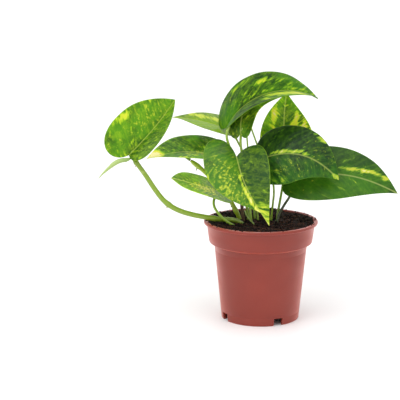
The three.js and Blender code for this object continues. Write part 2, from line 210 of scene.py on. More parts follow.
moulding, tree, shader = new_finish("pot_moulding")
where = add(tree, "ShaderNodeTexCoord").outputs["Object"]
height = add(tree, "ShaderNodeSeparateXYZ", inputs={0: where}).outputs["Z"]
cloud = grain(tree, where, 18, 2)
speck = grain(tree, where, 420, 2)
colour = blend_colours(tree, ease(tree, cloud, 0.35, 0.7), paint("#842a1b"), paint("#8c2f1f"))
# Painted shade: the pot's colour darkens towards its foot.
colour = blend_colours(tree, ease(tree, height, 0.0, 0.06, 0.3, 0.0), colour, paint("#7d2c1d"))
# Painted sheen: a pink highlight is painted where the pot's sides turn away from view.
facing = add(tree, "ShaderNodeLayerWeight", inputs={"Blend": 0.5}).outputs["Facing"]
colour = blend_colours(tree, ease(tree, facing, 0.35, 1.0, 0.0, 0.75), colour, paint("#cb6151"))
near_lip = ease(tree, height, 0.09, 0.104, 0.1, 0.55)
dust = math_node(tree, "MULTIPLY", ease(tree, speck, 0.66, 0.74), near_lip)
colour = blend_colours(tree, dust, colour, paint("#3a211a"))
tree.links.new(colour, shader.inputs["Base Color"])
tree.links.new(ease(tree, grain(tree, where, 60, 4), 0.3, 0.7, 0.3, 0.42), shader.inputs["Roughness"])
fine = math_node(tree, "ADD", math_node(tree, "MULTIPLY", grain(tree, where, 900, 2), 0.3), cloud)
bump = add(tree, "ShaderNodeBump", inputs={"Strength": 0.12, "Distance": 0.0006, "Height": fine})
tree.links.new(bump.outputs[0], shader.inputs["Normal"])
pot.data.materials.clear()
pot.data.materials.append(moulding)
belongs(pot, "pot", "pot")

# ---- Soil ----
# Damp dark potting mix of peat crumbs, coir fibres and bits of bark, filling the pot to just under
# its lip. The surface is lumpy, and crumbs and fibres lie loose on it, a few of them on the lip.
soil_low, soil_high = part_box("soil")
SOIL_TOP = soil_high.z
SOIL_SPREAD = 0.0003
SOIL_RADIUS = (soil_high.x - soil_low.x) / 2 + SOIL_SPREAD
SOIL_SINK = 0.0008
EDGE_RISE = 0.0034
LUMP_HEIGHT = 0.0013
SWELL_HEIGHT = 0.0014
SOIL_GRID = 150
SOIL_RINGS = ((54.9, 99.0), (52.6, 83.4), (47.1, 79.9), (43.2, 45.0), (39.9, 11.0))
luck = np.random.default_rng(7)


def soil_height(x, y):
    """Height of the soil's surface at a point measured from the pot's axis."""
    out = math.hypot(x, y) / SOIL_RADIUS
    lumps = noise.fractal(Vector((x * 95, y * 95, 1.7)), 0.9, 2.1, 4)
    swells = noise.noise(Vector((x * 38 + 4, y * 38, 0.3)))
    return SOIL_TOP - SOIL_SINK + EDGE_RISE * out ** 6 + LUMP_HEIGHT * lumps + SWELL_HEIGHT * swells


bpy.ops.object.select_all(action="DESELECT")
bpy.ops.mesh.primitive_grid_add(
    x_subdivisions=SOIL_GRID, y_subdivisions=SOIL_GRID, size=2, location=(0, 0, 0))
soil = bpy.context.object
soil.name = "soil_bed"
for vertex in soil.data.vertices:
    x, y, z = vertex.co
    reach = max(abs(x), abs(y))
    turn = math.hypot(x, y) or 1
    x, y = x * reach / turn * SOIL_RADIUS, y * reach / turn * SOIL_RADIUS
    vertex.co = (POT_X + x, POT_Y + y, soil_height(x, y))
bpy.ops.object.mode_set(mode="EDIT")
bpy.ops.mesh.select_all(action="SELECT")
bpy.ops.mesh.region_to_loop()
for ring_radius, ring_height in SOIL_RINGS:
    bpy.ops.mesh.extrude_region_move(TRANSFORM_OT_translate={"value": (0, 0, 0)})
    bpy.ops.object.mode_set(mode="OBJECT")
    for vertex in soil.data.vertices:
        if vertex.select:
            away = Vector((vertex.co.x - POT_X, vertex.co.y - POT_Y)).normalized() * ring_radius * MM
            vertex.co = (POT_X + away.x, POT_Y + away.y, ring_height * MM)
    bpy.ops.object.mode_set(mode="EDIT")
bpy.ops.mesh.edge_face_add()
bpy.ops.mesh.select_all(action="SELECT")
bpy.ops.mesh.normals_make_consistent(inside=False)
bpy.ops.object.mode_set(mode="OBJECT")
bpy.ops.object.shade_smooth()

humus, tree, shader = new_finish("potting_soil")
where = add(tree, "ShaderNodeTexCoord").outputs["Object"]
crumb = grain(tree, where, 260, 5, 0.7)
colour = blend_colours(tree, ease(tree, crumb, 0.4, 0.72), paint("#100a08"), paint("#3b241a"))
colour = blend_colours(
    tree, ease(tree, grain(tree, where, 620, 3), 0.62, 0.75, 0.0, 0.6), colour, paint("#6b4a33"))
tree.links.new(colour, shader.inputs["Base Color"])
shader.inputs["Roughness"].default_value = 0.92
shader.inputs["Specular IOR Level"].default_value = 0.25
bump = add(tree, "ShaderNodeBump", inputs={"Strength": 0.9, "Distance": 0.0012, "Height": crumb})
tree.links.new(bump.outputs[0], shader.inputs["Normal"])
soil.data.materials.append(humus)
belongs(soil, "soil", "soil")


def scatter(name, seeds, places, material, slot):
    """One object that holds a copy of a small seed mesh at each place, given as a matrix."""
    points, faces = [], []
    for i, place in enumerate(places):
        seed = seeds[i % len(seeds)]
        first = len(points)
        points += [place @ vertex.co for vertex in seed.vertices]
        faces += [[first + v for v in face.vertices] for face in seed.polygons]
    mesh = bpy.data.meshes.new(name)
    mesh.from_pydata([tuple(p) for p in points], [], faces)
    piece = bpy.data.objects.new(name, mesh)
    bpy.context.scene.collection.objects.link(piece)
    mesh.materials.append(material)
    belongs(piece, slot)
    return piece


def random_turn():
    axis = Vector(luck.normal(size=3)).normalized()
    return Matrix.Rotation(luck.uniform(0, 2 * math.pi), 4, axis)


CRUMB_SHAPES = 6
CRUMBS = 1500
CRUMB_SIZES = (0.0005, 0.0008, 0.0012, 0.0018)
CRUMB_SHARES = (0.35, 0.35, 0.2, 0.1)
LIP_CRUMBS = 110
LIP_INSIDE = 0.0557
LIP_WIDTH = 0.003
crumb_seeds = []
for i in range(CRUMB_SHAPES):
    bpy.ops.object.select_all(action="DESELECT")
    bpy.ops.mesh.primitive_ico_sphere_add(subdivisions=1, radius=1, location=(0, 0, 0))
    lump = bpy.context.object
    for vertex in lump.data.vertices:
        vertex.co *= luck.uniform(0.65, 1.25)
    crumb_seeds.append(lump.data)
    bpy.data.objects.remove(lump)

crumb_places = []
for i in range(CRUMBS):
    turn = luck.uniform(0, 2 * math.pi)
    reach = math.sqrt(luck.uniform(0, 1)) * (SOIL_RADIUS - 0.0022)
    size = luck.choice(CRUMB_SIZES, p=CRUMB_SHARES)
    x, y = reach * math.cos(turn), reach * math.sin(turn)
    at = Vector((POT_X + x, POT_Y + y, soil_height(x, y) + 0.4 * size))
    stretch = Matrix.Diagonal((size * luck.uniform(0.7, 1.5), size, size * luck.uniform(0.5, 1.0), 1))
    crumb_places.append(Matrix.Translation(at) @ random_turn() @ stretch)
for i in range(LIP_CRUMBS):
    turn = luck.uniform(0, 2 * math.pi)
    reach = LIP_INSIDE + LIP_WIDTH * luck.uniform(0, 1) ** 2
    size = luck.uniform(0.0003, 0.001)
    at = Vector((POT_X + reach * math.cos(turn), POT_Y + reach * math.sin(turn), pot_high.z + 0.3 * size))
    crumb_places.append(Matrix.Translation(at) @ random_turn() @ Matrix.Diagonal((size, size, size, 1)))
scatter("soil_crumbs", crumb_seeds, crumb_places, humus, "soil")

fibre, tree, shader = new_finish("coir_fibre")
where = add(tree, "ShaderNodeTexCoord").outputs["Object"]
colour = blend_colours(
    tree, ease(tree, grain(tree, where, 90, 2), 0.35, 0.65), paint("#3a2018"), paint("#86523a"))
tree.links.new(colour, shader.inputs["Base Color"])
shader.inputs["Roughness"].default_value = 0.8

FIBRE_SHAPES = 5
FIBRES = 620
fibre_seeds = []
for i in range(FIBRE_SHAPES):
    bpy.ops.object.select_all(action="DESELECT")
    bpy.ops.mesh.primitive_cylinder_add(
        vertices=4, radius=0.03, depth=0.2, location=(-0.9, 0, 0), rotation=(0, math.pi / 2, 0))
    strand = bpy.context.object
    settle(strand)
    bpy.ops.object.mode_set(mode="EDIT")
    bpy.ops.mesh.select_all(action="DESELECT")
    bpy.ops.object.mode_set(mode="OBJECT")
    for face in strand.data.polygons:
        face.select = face.normal.x > 0.9
    bpy.ops.object.mode_set(mode="EDIT")
    for j in range(6):
        bpy.ops.mesh.extrude_region_move(TRANSFORM_OT_translate={
            "value": (0.27, luck.uniform(-0.16, 0.16), luck.uniform(-0.06, 0.06))})
    bpy.ops.object.mode_set(mode="OBJECT")
    fibre_seeds.append(strand.data)
    bpy.data.objects.remove(strand)

fibre_places = []
for i in range(FIBRES):
    turn = luck.uniform(0, 2 * math.pi)
    reach = math.sqrt(luck.uniform(0, 1)) * (SOIL_RADIUS - 0.006)
    size = luck.uniform(0.0015, 0.0045)
    x, y = reach * math.cos(turn), reach * math.sin(turn)
    at = Vector((POT_X + x, POT_Y + y, soil_height(x, y) + 0.0005))
    heading = Matrix.Rotation(luck.uniform(0, 2 * math.pi), 4, "Z")
    tilt = Matrix.Rotation(luck.normal(0, 0.22), 4, "Y")
    scale = Matrix.Diagonal((size, size, size, 1))
    fibre_places.append(Matrix.Translation(at) @ (heading @ tilt) @ scale)
scatter("soil_fibres", fibre_seeds, fibre_places, fibre, "soil")

# ---- Vines ----
# Two round, fleshy green vines with a ringed node every few centimetres and small root nubs at the
# nodes. The long one leans out over the lip; the short one rises behind the leaves. Each is rooted
# in the soil. Routes are in mm from the middle of the soil's surface.
HEART = Vector((POT_X, POT_Y, SOIL_TOP))


def smooth_route(points, spacing=1.2):
    """Evenly close points along a centripetal Catmull-Rom curve through the given ones."""
    given = np.array(points, float)
    ends = np.vstack([2 * given[0] - given[1], given, 2 * given[-1] - given[-2]])
    line = []
    for i in range(1, len(ends) - 2):
        p = ends[i - 1:i + 3]
        knot = np.cumsum([0] + [math.sqrt(np.linalg.norm(p[k + 1] - p[k])) for k in range(3)])
        steps = max(2, round(float(np.linalg.norm(p[2] - p[1])) / spacing))
        for k in range(steps):
            t = knot[1] + (knot[2] - knot[1]) * k / steps
            a = [p[j] + (p[j + 1] - p[j]) * (t - knot[j]) / (knot[j + 1] - knot[j]) for j in range(3)]
            b = [a[j] + (a[j + 1] - a[j]) * (t - knot[j]) / (knot[j + 2] - knot[j]) for j in range(2)]
            line.append(b[0] + (b[1] - b[0]) * (t - knot[1]) / (knot[2] - knot[1]))
    line.append(given[-1])
    return np.array(line)


def grow_stem(name, route, width_at, groove=0.0, roll_up=0.0):
    """A stem along a route (mm from the soil's middle); width_at gives its radius (mm) by share of
    its length. groove sinks a channel along its upper side, and roll_up winds an edge round it."""
    line = smooth_route(route)
    shares = np.linspace(0, 1, len(line))
    bpy.ops.object.select_all(action="DESELECT")
    bpy.ops.curve.primitive_nurbs_path_add()
    stem = bpy.context.object
    stem.name = name
    curve = stem.data
    curve.splines.clear()
    spline = curve.splines.new("POLY")
    spline.points.add(len(line) - 1)
    for point, at, share in zip(spline.points, line, shares):
        point.co = (*(HEART + Vector(at) * MM - stem.location), 1)
        point.radius = width_at(share) * MM
    curve.dimensions = "3D"
    curve.bevel_depth = 1.0
    curve.bevel_resolution = 6
    curve.use_fill_caps = True
    curve.twist_mode = "MINIMUM"
    only(stem)
    bpy.ops.object.convert(target="MESH")
    settle(stem)
    mesh = stem.data
    around = len(mesh.vertices) // len(line)
    along = mesh.attributes.new("along", "FLOAT", "POINT")
    for i, vertex in enumerate(mesh.vertices):
        k = min(i // around, len(line) - 1)
        along.data[i].value = shares[k]
        centre = HEART + Vector(line[k]) * MM
        away = vertex.co - centre
        if groove and away.length > 0:
            facing = max(0.0, away.normalized().z)
            vertex.co = centre + away * (1 - groove * facing ** 8)
        if roll_up:
            turn = (i % around) / around + roll_up * shares[k]
            vertex.co = centre + away * (0.86 + 0.3 * (turn % 1.0))
    mesh.polygons.foreach_set("use_smooth", [True] * len(mesh.polygons))
    return stem


def swelling(share, places, width, rise):
    """How many times thicker a stem is near its nodes, by share of its length."""
    return 1 + rise * sum(math.exp(-((share - place) / width) ** 2) for place in places)


skin = bpy.data.node_groups.new("stem_skin", "ShaderNodeTree")
for socket, kind in (
        ("Low", "NodeSocketColor"), ("High", "NodeSocketColor"), ("Turn over", "NodeSocketFloat")):
    skin.interface.new_socket(socket, in_out="INPUT", socket_type=kind)
for socket, kind in (("Colour", "NodeSocketColor"), ("Height", "NodeSocketFloat")):
    skin.interface.new_socket(socket, in_out="OUTPUT", socket_type=kind)
given = skin.nodes.new("NodeGroupInput")
where = add(skin, "ShaderNodeTexCoord").outputs["Object"]
along = add(skin, "ShaderNodeAttribute", attribute_name="along").outputs["Fac"]
mottle = grain(skin, where, 130, 3)
fine = grain(skin, where, 700, 2)
share = math_node(skin, "ADD", along, math_node(skin, "MULTIPLY", mottle, 0.3))
share = math_node(skin, "SUBTRACT", share, given.outputs["Turn over"])
colour = blend_colours(skin, ease(skin, share, 0.0, 0.35), given.outputs["Low"], given.outputs["High"])
pale = blend_colours(skin, 0.5, colour, paint("#d8e08a"))
colour = blend_colours(skin, ease(skin, mottle, 0.55, 0.75, 0.0, 0.5), colour, pale)
dark = blend_colours(skin, 0.6, colour, paint("#4d5a1e"))
colour = blend_colours(skin, ease(skin, fine, 0.62, 0.72, 0.0, 0.5), colour, dark)
handed = skin.nodes.new("NodeGroupOutput")
skin.links.new(colour, handed.inputs["Colour"])
skin.links.new(math_node(skin, "ADD", fine, mottle), handed.inputs["Height"])


def stem_finish(name, low, high, turn_over, roughness=0.36, coat=0.3):
    """Green stem skin that changes from its low to its high colour; turn_over is where."""
    material, tree, shader = new_finish(name)
    group = add(tree, "ShaderNodeGroup", node_tree=skin)
    group.inputs["Low"].default_value = paint(low)
    group.inputs["High"].default_value = paint(high)
    group.inputs["Turn over"].default_value = turn_over
    tree.links.new(group.outputs["Colour"], shader.inputs["Base Color"])
    shader.inputs["Roughness"].default_value = roughness
    shader.inputs["Coat Weight"].default_value = coat
    shader.inputs["Coat Roughness"].default_value = 0.25
    bump = add(tree, "ShaderNodeBump", inputs={
        "Strength": 0.25, "Distance": 0.0004, "Height": group.outputs["Height"]})
    tree.links.new(bump.outputs[0], shader.inputs["Normal"])
    return material


def root_nub(name, route, share, direction, length, radius, material):
    """A short root tip that stands out of a vine's skin: a cone drawn out and rounded."""
    line = smooth_route(route)
    at = HEART + Vector(line[round(share * (len(line) - 1))]) * MM
    way = Vector(direction).normalized()
    bpy.ops.object.select_all(action="DESELECT")
    bpy.ops.mesh.primitive_cone_add(
        vertices=12, radius1=radius * MM, radius2=0.35 * radius * MM, depth=length * MM,
        location=at + way * (0.5 * length + 1.9) * MM, rotation=way.to_track_quat("Z", "Y").to_euler())
    nub = bpy.context.object
    nub.name = name
    settle(nub)
    apply_modifier(nub, "BEVEL", width=0.2 * radius * MM, segments=2)
    only(nub)
    bpy.ops.object.shade_smooth_by_angle(angle=math.radians(60))
    nub.data.materials.append(material)
    belongs(nub, "vine")


vine_skin = stem_finish("vine_skin", "#5f7919", "#809c22", 0.1)
# Painted light: the short vine's skin is a lighter copy of the long vine's, as that vine stands in shade
# behind the leaves.
painted_lit_vine_skin = stem_finish("painted_lit_vine_skin", "#80981d", "#a8c228", 0.1)
node_bark = stem_finish("root_nub_bark", "#a08a52", "#8f7040", 0.1, 0.7, 0.0)

VINE_LEFT = [
    (-13, 4, -12), (-19, 1, -2), (-27, -3, 3), (-35, -7, 5), (-44, -10, 6), (-59, -13, 9),
    (-72, -15, 12), (-83, -16, 15.5), (-93, -17, 20.5), (-102, -16, 27.5), (-111, -15, 39),
    (-121, -13, 54), (-130, -11, 66), (-134, -10, 70.5),
]
NODES_LEFT = (0.3, 0.62, 0.965)


def vine_left_width(share):
    ringed = 1 + 0.05 * sum(math.exp(-((share - n) / 0.004) ** 2) for n in NODES_LEFT)
    end = 1 - 0.55 * max(0.0, (share - 0.97) / 0.03)
    return (2.35 + 0.35 * math.sin(math.pi * share)) * swelling(share, NODES_LEFT, 0.022, 0.16) * ringed * end


vine_left = grow_stem("vine_left_stem", VINE_LEFT, vine_left_width)
vine_left.data.materials.append(vine_skin)
belongs(vine_left, "vine", "vine_left")
root_nub("vine_left_nub", VINE_LEFT, 0.615, (-0.5, -0.3, -0.8), 2.4, 0.9, node_bark)
root_nub("vine_left_low_nub", VINE_LEFT, 0.3, (0.1, -0.6, -0.7), 1.6, 0.8, node_bark)
root_nub("vine_left_end_nub", VINE_LEFT, 0.95, (-0.7, -0.2, -0.6), 1.8, 0.8, node_bark)

VINE_MIDDLE = [
    (-20, 17, -12), (-22, 17, 0), (-28, 18, 13), (-34, 21, 23), (-46, 25, 36.5), (-60, 28, 50),
    (-74, 30, 61),
]
NODES_MIDDLE = (0.24, 0.9)


def vine_middle_width(share):
    return 2.3 * swelling(share, NODES_MIDDLE, 0.035, 0.2) * (1 - 0.4 * max(0.0, (share - 0.96) / 0.04))


vine_middle = grow_stem("vine_middle_stem", VINE_MIDDLE, vine_middle_width)
vine_middle.data.materials.append(painted_lit_vine_skin)
belongs(vine_middle, "vine", "vine_middle")
root_nub("vine_middle_nub", VINE_MIDDLE, 0.9, (-0.35, -0.4, -0.9), 4.2, 0.75, painted_lit_vine_skin)
root_nub("vine_middle_low_nub", VINE_MIDDLE, 0.32, (-0.4, -0.5, -0.8), 2.2, 0.8, node_bark)

# ---- Old stem and air root ----
# A short brown woody stub that carries the front leaf's stalk, and a thin green root that curls up
# out of the soil beside it.
old_bark = stem_finish("old_stem_bark", "#4a3626", "#5e4530", 0.2, 0.75, 0.0)
old_stem = grow_stem(
    "old_stem_stub", [(-17, 10, -12), (-18, 9, 0), (-19.5, 8, 12), (-20, 8, 25)],
    lambda share: 1.75 * swelling(share, (0.45, 0.75, 0.97), 0.03, 0.14))
old_stem.data.materials.append(old_bark)
belongs(old_stem, "old_stem", "old_stem")
air_root = grow_stem(
    "air_root_curl", [(-6, -10, -12), (-8, -10, 1), (-12, -9.5, 5), (-15.5, -8, 10), (-17, -4, 14)],
    lambda share: 0.95 - 0.35 * share)
air_root.data.materials.append(stem_finish("air_root_skin", "#5c6a2c", "#86a040", 0.2))
belongs(air_root, "vine", "air_root")

# ---- Leaf stalks ----
# Slender smooth petioles with a channel along the upper side, a broad clasping foot where they
# leave the crown, and a slightly swollen knee just under the blade. Two stalks of hidden young
# leaves go up with them. Each stalk's route ends at its leaf's notch.
LEAVES = {
    "far_left": dict(
        base=(-137, -12, 75), tip=(-90, 12, 129), arch=20, bow=-6, roll=58,
        left=(37, 22, 20, 0.24, 0.7, 1.5, 2), right=(19, 42, 10, 0.05, 0.5, 1.5, 1.5)),
    "upper_left": dict(
        base=(-30, 44, 91), tip=(-94, 66, 102), arch=20, bow=0, roll=-12,
        left=(25, 19, 20, 0.2, 0.3, 0, 1.5), right=(25, 14, 20, 0.2, 0.3, 0, 1.5)),
    "top": dict(
        base=(-35, 16, 101), tip=(60, 22, 128), arch=106, bow=6, roll=34,
        left=(41.5, 2, 13, 0.16, 0.62, 1.5, 1.5), right=(32, 32, 4, 0, 0.95, 0, 1.5)),
    "centre": dict(
        base=(-22, 6, 96), tip=(29, 20, 133), arch=87, bow=40, roll=24,
        left=(24, -2, 4, 0.09, 0.33, 0, 1.5), right=(15, -29, 4, 0.13, 0.9, 0, 1.5)),
    "upper_right": dict(
        base=(28, 38, 66), tip=(28, 42, 133), arch=21, bow=7, roll=1,
        left=(27, 13, 12, 0.11, 0.35, 0, 1.5), right=(31, 7, 8, 0.14, 0.32, 0, 1.5)),
    "right": dict(
        base=(2, -3, 70), tip=(79, -26, 51), arch=55, bow=24, roll=60,
        left=(34, 0, 10, 0.14, 0.4, 1.5, 1.5), right=(33, 0, 10, 0.18, 0.35, 1.5, 1.5)),
    "front": dict(
        base=(-26, -8, 72), tip=(6, -62, 11), arch=32, bow=-18, roll=5,
        left=(33, 50, 9, 0.05, 0.34, 0, 1.5), right=(36, -4, 20, 0.55, -0.4, 0, 1.5)),
    "small_left": dict(
        base=(-44, 7, 32), tip=(-94, -16, 51), arch=22, bow=12, roll=-26,
        left=(24, 10, 4, 0.22, 1, 0, 1.5), right=(24, 2, 12, 0.1, 1, 0, 1.5)),
    "left": dict(
        base=(-50, 36, 67.5), tip=(-121, 29, 63), arch=22, bow=-6, roll=-32,
        left=(28.5, 36, 16, 0.16, 0.25, 0, 1.5), right=(28, 6, 9, 0.24, 0.45, 1.5, 1.5)),
    "far_right": dict(
        base=(38, 6, 49), tip=(143, -4, 32), arch=38, bow=12, roll=60,
        left=(32, 5, 10, 0.1, 0.5, 1.5, 1.5), right=(29, 5, 10, 0.2, 0.3, 1.5, 1.5)),
}


def blade_axes(leaf):
    """Base point, direction to the tip, the blade's up and its left, and the chord's length."""
    base, tip = np.array(leaf["base"], float), np.array(leaf["tip"], float)
    chord = float(np.linalg.norm(tip - base))
    ahead = (tip - base) / chord
    up = np.array([0, 0, 1.0]) - ahead * ahead[2]
    up = Vector(up / np.linalg.norm(up))
    up = np.array(Matrix.Rotation(math.radians(leaf["roll"]), 3, Vector(ahead)) @ up)
    return base, ahead, up, np.cross(up, ahead), chord


def stalk_end(leaf, radius):
    """The last points of a stalk: under the notch, and a little way along under the midrib."""
    base, ahead, up, left, chord = blade_axes(leaf)
    lean = math.radians(leaf["arch"]) / 2
    normal = up * math.cos(lean) - ahead * math.sin(lean)
    forward = ahead * math.cos(lean) + up * math.sin(lean)
    under_notch = base - normal * (0.5 + 0.9 * radius)
    under_midrib = base + forward * 5 - normal * (0.4 + 0.3 * radius)
    return [tuple(under_notch), tuple(under_midrib)]


def stalk_width(radius, foot):
    """Radius by share: a clasping foot where the stalk is rooted, a knee, then a fine end."""
    def width(share):
        base = 1 + foot * math.exp(-share / 0.07)
        knee = 1 + 0.18 * math.exp(-((share - 0.93) / 0.035) ** 2)
        return radius * (0.94 * base * knee) * (1 - 0.6 * max(0.0, (share - 0.95) / 0.05))
    return width


GROOVE = 0.3
stalk_light = stem_finish("stalk_light", "#7d9c2c", "#9cbb3e", 0.05)
stalk_bright = stem_finish("stalk_bright", "#64821f", "#8fb030", 0.15)
stalk_dark = stem_finish("stalk_dark", "#37401c", "#7fa03a", 0.62)
# Each stalk's route, radius, how much wider its foot is, and its skin.
STALKS = {
    "far_left": ([(-130.6, -10.9, 66.8), (-133.5, -10, 70)], 1.3, 0.3, stalk_bright),
    "left": (
        [(-75, 30.4, 61.9), (-79, 35.5, 63.8), (-75, 39.5, 66), (-61, 40, 65.5)], 1.4, 0.2, stalk_bright),
    "small_left": (
        [(-24, -10, -12), (-28, -14, -1), (-36, -15, 4.5), (-44, -14, 12), (-49, -10, 19), (-49.5, -3, 25)],
        1.45, 0.5, stalk_bright),
    "front": ([(-20.1, 8.1, 25.2), (-21, 9.5, 39), (-24, 9, 55)], 1.4, 0.2, stalk_bright),
    "top": (
        [(-11, 14, -12), (-13, 17, 4), (-18, 19, 31), (-27, 19, 58), (-33, 18, 78), (-36, 16.5, 90)],
        1.45, 0.5, stalk_light),
    "centre": (
        [(-9, 8, -12), (-10.5, 9, 6), (-14, 15, 37), (-19, 16, 64), (-21.5, 11, 86)], 1.4, 0.5, stalk_light),
    "upper_left": (
        [(-5, 21, -12), (-6, 23, 6), (-9, 33, 34), (-15, 39, 61), (-23, 42.5, 78)], 1.15, 0.5, stalk_light),
    "upper_right": (
        [(17, 11, -12), (18, 12, 4), (21, 15, 21), (24, 26, 34), (26.5, 35, 49)], 1.4, 0.5, stalk_bright),
    "right": (
        [(11, 12, -12), (12, 12, 7), (13, 11, 17), (14, 10, 31), (12, 8, 46), (6, 4, 60)],
        1.2, 0.6, stalk_light),
    "far_right": (
        [(17, 4, -12), (18, 5, 2), (20, 7, 8), (25, 9, 17), (30, 9, 25), (34, 9, 34)], 1.45, 0.5, stalk_dark),
}
for name, (route, radius, foot, finish) in STALKS.items():
    stalk = grow_stem(
        f"stalk_{name}", route + stalk_end(LEAVES[name], radius), stalk_width(radius, foot), groove=GROOVE)
    stalk.data.materials.append(finish)
    belongs(stalk, "petiole", f"petiole_{name}")
SHOOTS = {
    "young_shoot": [(-2, 14, -12), (-3, 16, 6), (-9, 17, 42), (-13, 16, 70), (-15, 14, 92)],
    "side_shoot": [(6, 17, -12), (7, 18, 6), (6, 19, 48), (-1, 21, 72), (-6, 22, 86), (-11, 22, 100)],
}


def shoot_width(share):
    return 1.15 * (1 + 0.5 * math.exp(-share / 0.06)) * (1 - 0.25 * share)


for name, route in SHOOTS.items():
    shoot = grow_stem(f"{name}_stalk", route, shoot_width, groove=GROOVE)
    shoot.data.materials.append(stalk_light)
    belongs(shoot, "petiole", name)

# ---- Leaf blades ----
# Heart-shaped waxy blades about half a millimetre thick, with a sunk midrib that stands out as a
# keel underneath, faint side veins that run forward to the margin, and yellow and cream streaks,
# flecks and patches that follow those veins. Each blade is carried by the end of its stalk.
BLADE_ROWS = 84
BLADE_COLUMNS = 60
FAN_SHARE = 0.22
BLADE_THICKNESS = 0.5 * MM
SIDE_VEINS = 9
DEEPEST_SHADE = -1.5


def half_outline(t, lobe, fullness):
    """Margin of a half blade of length 1 and half width 1, from the notch (t = 0) to the tip."""
    k = np.where(t < 0.5, 2 * t, 2 * t - 1)
    def curve(a, b, c, d):
        return a * (1 - k) ** 3 + 3 * b * k * (1 - k) ** 2 + 3 * c * k * k * (1 - k) + d * k ** 3
    x = np.where(t < 0.5, curve(0, -1.15 * lobe, -1.05 * lobe, 0.2), curve(0.2, 0.6, 0.8, 1))
    y = np.where(t < 0.5, curve(0, 0.15, 0.98, 1), curve(1, 1, fullness, 0))
    return x, y


def blade_surface(leaf, t, s, side):
    """Points of the blade's middle surface (mm) and, for the patterns, how far along the blade
    each is and how far out, as a share of its half's width."""
    base, ahead, up, left, chord = blade_axes(leaf)
    pick = [np.where(side > 0, a, b) for a, b in zip(leaf["left"], leaf["right"])]
    width, fold, curl, lobe, fullness, ripple, waves = pick
    arch, bow = math.radians(leaf["arch"]), math.radians(leaf["bow"])
    length = chord * arch / 2 / math.sin(arch / 2)
    edge_x, edge_y = half_outline(t, lobe, fullness)
    on_rib = np.maximum(0, (t - FAN_SHARE) / (1 - FAN_SHARE)) ** 2
    along = on_rib + (edge_x - on_rib) * s
    out = edge_y * s
    across = out * width
    lean = arch / 2 - arch * along
    inside = np.clip(along, 0, 1)
    sideways = np.where(along < 0, bow * along, np.sin(np.pi * inside) * bow / np.pi)
    def spread(number, direction):
        return np.asarray(number)[:, None] * direction
    point = base + spread((math.sin(arch / 2) - np.sin(lean)) * length / arch, ahead)
    point = point + spread((np.cos(lean) - math.cos(arch / 2)) * length / arch, up)
    point = point + spread(sideways * length, left)
    forward = spread(np.cos(lean), ahead) + spread(np.sin(lean), up)
    normal = spread(np.cos(lean), up) - spread(np.sin(lean), ahead)
    swing = bow * np.cos(np.pi * inside)
    outward = spread(np.cos(swing), left) - forward * np.sin(swing)[:, None]
    fold = np.radians(fold)
    bend = np.radians(curl) / width
    turn_at = fold - bend * across
    reach = (np.sin(fold) - np.sin(turn_at)) / bend
    rise = (np.cos(turn_at) - np.cos(fold)) / bend
    rise = rise + ripple * out ** 2 * np.sin(2 * np.pi * waves * t)
    return point + outward * (side * reach)[:, None] + normal * rise[:, None], normal, along, out, across


def patch_share(patches, out, along):
    """Sum of soft oval patches, each (out, along, length, width, turn from the midrib, strength)."""
    total = np.zeros_like(out)
    for u, v, long, wide, turn, strength in patches:
        turn = math.radians(turn)
        du, dv = out - u, along - v
        a = dv * math.cos(turn) + du * math.sin(turn)
        b = du * math.cos(turn) - dv * math.sin(turn)
        total += strength * np.exp(-((a / long) ** 2 + (b / wide) ** 2))
    return total


